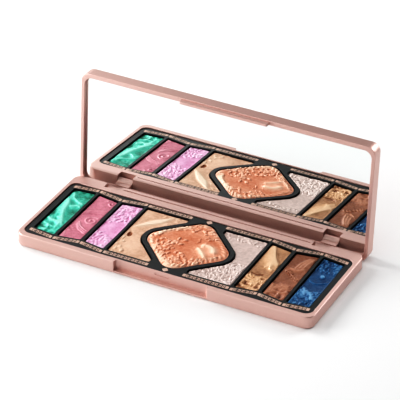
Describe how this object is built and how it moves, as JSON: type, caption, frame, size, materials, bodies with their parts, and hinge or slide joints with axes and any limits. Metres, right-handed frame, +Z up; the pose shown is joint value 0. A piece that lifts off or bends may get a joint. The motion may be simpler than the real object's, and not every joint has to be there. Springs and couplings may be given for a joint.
{
  "type": "eyeshadow palette",
  "caption": "Long eyeshadow palette, open: rose-gold moulded base with pressed powders in a black tray, and a hinged lid with a mirror and a latch tongue.",
  "frame": {"origin": "centre of the base's flat underside", "axes": "+Z up, X along the length, -Y is the front with the thumb notch, the hinge is at +Y"},
  "size_m": [0.19, 0.0901, 0.0751],
  "materials": {
    "rose_gold": "satin metallic rose-gold lacquer on moulded plastic",
    "black_tray": "satin black",
    "pan_metal": "stamped",
    "foil": "hot-stamped pale gold foil",
    "steel": "drawn pin",
    "mirror": "polished",
    "adhesive": "acrylic foam",
    "powder_green": "pressed cosmetic powder with embossed relief",
    "powder_mauve": "pressed cosmetic powder with embossed relief",
    "powder_pink": "pressed cosmetic powder with embossed relief",
    "powder_cream": "pressed cosmetic powder with embossed relief",
    "powder_coral": "pressed cosmetic powder with embossed relief",
    "powder_silver": "pressed cosmetic powder with embossed relief",
    "powder_ochre": "pressed cosmetic powder with embossed relief",
    "powder_brown": "pressed cosmetic powder with embossed relief",
    "powder_blue": "pressed cosmetic powder with embossed relief"
  },
  "bodies": {
    "base": {"base_shell": "rose_gold", "insert_tray": "black_tray", "pan_green": "pan_metal", "pan_mauve": "pan_metal", "pan_pink": "pan_metal", "pan_cream": "pan_metal", "pan_coral": "pan_metal", "pan_silver": "pan_metal", "pan_ochre": "pan_metal", "pan_brown": "pan_metal", "pan_blue": "pan_metal", "powder_green": "powder_green", "powder_mauve": "powder_mauve", "powder_pink": "powder_pink", "powder_cream": "powder_cream", "powder_coral": "powder_coral", "powder_silver": "powder_silver", "powder_ochre": "powder_ochre", "powder_brown": "powder_brown", "powder_blue": "powder_blue", "pan_adhesive": "adhesive", "foil_bands": "foil", "foil_dots": "foil", "hinge_pin_left": "steel", "hinge_pin_right": "steel"},
    "lid": {"lid_shell": "rose_gold", "mirror": "mirror", "mirror_tape": "adhesive"}
  },
  "joints": [
    {"name": "lid_hinge", "type": "hinge", "parent": "base", "child": "lid", "pos_m": [0, 0.03515, 0.00295], "axis": [1, 0, 0], "range_deg": [0, 93]}
  ]
}
